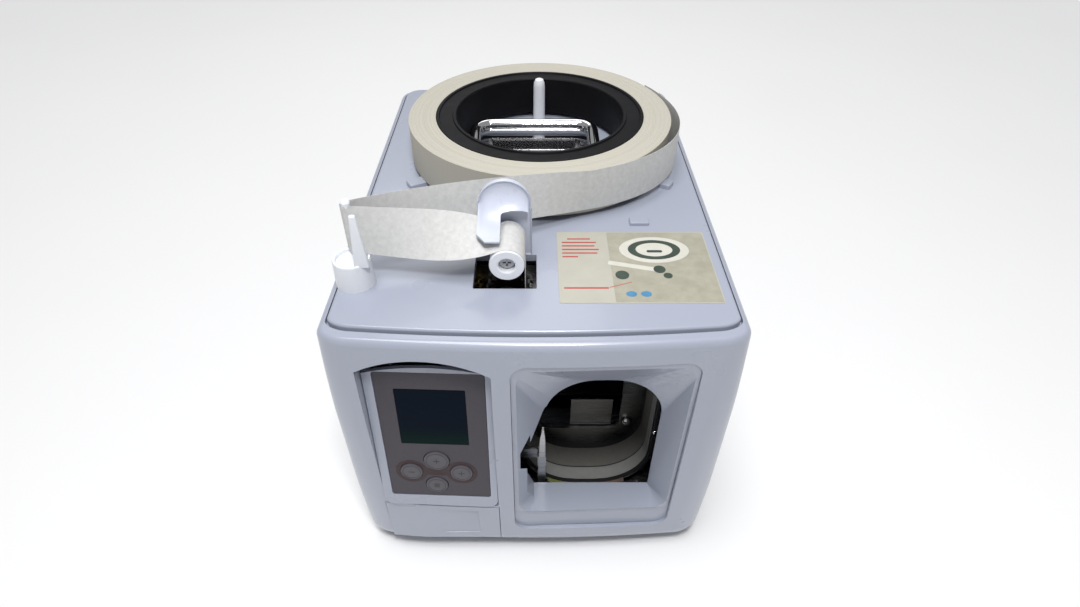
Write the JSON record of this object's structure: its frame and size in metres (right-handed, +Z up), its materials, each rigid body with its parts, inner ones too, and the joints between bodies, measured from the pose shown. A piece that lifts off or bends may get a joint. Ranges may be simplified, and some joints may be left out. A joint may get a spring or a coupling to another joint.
{
  "type": "banknote strapping machine",
  "caption": "Desktop machine that wraps a paper strap round a bundle of banknotes, with tape roll on top, leaning control panel and arched note inlet.",
  "frame": {"origin": "middle of the footprint, on the surface that the rubber feet stand on", "axes": "+X to the right seen from the front, +Y from the front to the back, +Z up"},
  "size_m": [0.203, 0.2829, 0.22],
  "materials": {
    "casing_plastic": "glossy moulded plastic, cool white",
    "overlay_film": "dark grey polyester film",
    "display_dark": "unlit display window",
    "key_film": "embossed grey keys",
    "chrome": "bright chrome plate",
    "steel": "zinc plated sheet steel",
    "rubber": "black rubber",
    "core_black": "black moulded core",
    "paper": "uncoated strapping paper",
    "nylon": "white nylon",
    "guide_plastic": "bluish white plastic",
    "label_paper": "printed paper label",
    "track_metal": "dark coated sheet",
    "board": "green circuit board",
    "brass": "machined brass",
    "motor_can": "grey motor housing",
    "iron_core": "laminated transformer core",
    "black_plastic": "black electrical fitting"
  },
  "bodies": {
    "chassis": {"casing": "casing_plastic", "lid": "casing_plastic", "base_plate": "steel", "rear_panel": "steel", "feet": "rubber", "foot_screws": "steel", "rear_screws": "steel", "control_bezel": "casing_plastic", "keypad_overlay": "overlay_film", "display_window": "display_dark", "display_module": "board", "keypad_board": "board", "lower_cover": "casing_plastic", "inlet_frame": "casing_plastic", "handle_dish": "chrome", "handle_ears": "chrome", "handle_pins": "steel", "roll_post": "nylon", "guide_post": "nylon", "feed_guide": "guide_plastic", "guide_roller_screw": "steel", "tape_span": "paper", "tape_loop": "paper", "instruction_label": "label_paper", "rear_plate": "steel", "front_plate": "steel", "spacers": "steel", "loop_track": "track_metal", "note_stop": "steel", "dome_screws": "chrome", "slide_block": "black_plastic", "clamp_guide": "black_plastic", "anvil": "steel", "feed_motor": "motor_can", "cam_motor": "motor_can", "main_board": "board", "transformer": "iron_core", "power_inlet": "black_plastic", "switch_body": "black_plastic", "fuse_holder": "black_plastic"},
    "bail": {"handle_bail": "chrome"},
    "guide_roller": {"guide_roller": "nylon"},
    "key_top": {"key_top": "key_film"},
    "key_left": {"key_left": "key_film"},
    "key_right": {"key_right": "key_film"},
    "key_bottom": {"key_bottom": "key_film"},
    "switch_rocker": {"switch_rocker": "black_plastic"},
    "feed_shaft": {"feed_shaft": "steel", "feed_roller": "rubber"},
    "feed_pinion": {"feed_pinion": "brass"},
    "pinch_arm": {"pinch_arm": "steel"},
    "pinch_roller": {"pinch_roller": "rubber"},
    "cam_shaft": {"cam_shaft": "steel", "cams": "brass"},
    "cam_pinion": {"cam_pinion": "brass"},
    "seal_head": {"seal_head": "brass"},
    "cutter": {"cutter": "steel"},
    "note_clamp": {"note_clamp": "steel"},
    "roll": {"roll_core": "core_black", "tape_roll": "paper"}
  },
  "joints": [
    {"name": "roll_spin", "type": "hinge", "parent": "chassis", "child": "roll", "pos_m": [0.0035, 0.037, 0.192], "axis": [0, 0, 1], "continuous": true},
    {"name": "bail_fold", "type": "hinge", "parent": "chassis", "child": "bail", "pos_m": [0, 0.02, 0.185], "axis": [1, 0, 0], "range_deg": [0, 90]},
    {"name": "guide_roller_spin", "type": "hinge", "parent": "chassis", "child": "guide_roller", "pos_m": [-0.0128, -0.0875, 0.19], "axis": [0, 1, 0], "continuous": true},
    {"name": "key_top_press", "type": "slide", "parent": "chassis", "child": "key_top", "axis": [0, 0.9945, -0.1045], "range_m": [0, 0.0006], "stiffness_N_per_m": 800},
    {"name": "key_left_press", "type": "slide", "parent": "chassis", "child": "key_left", "axis": [0, 0.9945, -0.1045], "range_m": [0, 0.0006], "stiffness_N_per_m": 800},
    {"name": "key_right_press", "type": "slide", "parent": "chassis", "child": "key_right", "axis": [0, 0.9945, -0.1045], "range_m": [0, 0.0006], "stiffness_N_per_m": 800},
    {"name": "key_bottom_press", "type": "slide", "parent": "chassis", "child": "key_bottom", "axis": [0, 0.9945, -0.1045], "range_m": [0, 0.0006], "stiffness_N_per_m": 800},
    {"name": "switch_rock", "type": "hinge", "parent": "chassis", "child": "switch_rocker", "pos_m": [0.014, 0.1335, 0.046], "axis": [1, 0, 0], "range_deg": [0, 24]},
    {"name": "feed_spin", "type": "hinge", "parent": "chassis", "child": "feed_shaft", "pos_m": [-0.0133, -0.0875, 0.152], "axis": [0, 1, 0], "continuous": true},
    {"name": "feed_pinion_spin", "type": "hinge", "parent": "chassis", "child": "feed_pinion", "pos_m": [-0.0313, -0.073, 0.152], "axis": [0, 1, 0], "continuous": true},
    {"name": "pinch_open", "type": "hinge", "parent": "chassis", "child": "pinch_arm", "pos_m": [0.016, -0.0875, 0.161], "axis": [0, -1, 0], "range_deg": [0, 15], "stiffness_Nm_per_rad": 0.2, "springref_deg": -5.73},
    {"name": "pinch_spin", "type": "hinge", "parent": "pinch_arm", "child": "pinch_roller", "pos_m": [0.0021, -0.0875, 0.152], "axis": [0, 1, 0], "continuous": true},
    {"name": "cam_spin", "type": "hinge", "parent": "chassis", "child": "cam_shaft", "pos_m": [-0.076, -0.0875, 0.127], "axis": [0, 1, 0], "continuous": true},
    {"name": "cam_pinion_spin", "type": "hinge", "parent": "chassis", "child": "cam_pinion", "pos_m": [-0.076, -0.073, 0.106], "axis": [0, 1, 0], "continuous": true},
    {"name": "seal_press", "type": "slide", "parent": "chassis", "child": "seal_head", "axis": [1, 0, 0], "range_m": [0, 0.004], "stiffness_N_per_m": 200},
    {"name": "cutter_stroke", "type": "slide", "parent": "chassis", "child": "cutter", "axis": [1, 0, 0], "range_m": [0, 0.01], "stiffness_N_per_m": 100},
    {"name": "clamp_close", "type": "slide", "parent": "chassis", "child": "note_clamp", "axis": [1, 0, 0], "range_m": [0, 0.04]}
  ],
  "couplings": [
    {"joint": "feed_pinion_spin", "follows": "feed_spin", "ratio": -2},
    {"joint": "pinch_spin", "follows": "feed_spin", "ratio": -1.5},
    {"joint": "cam_pinion_spin", "follows": "cam_spin", "ratio": -2.5}
  ]
}
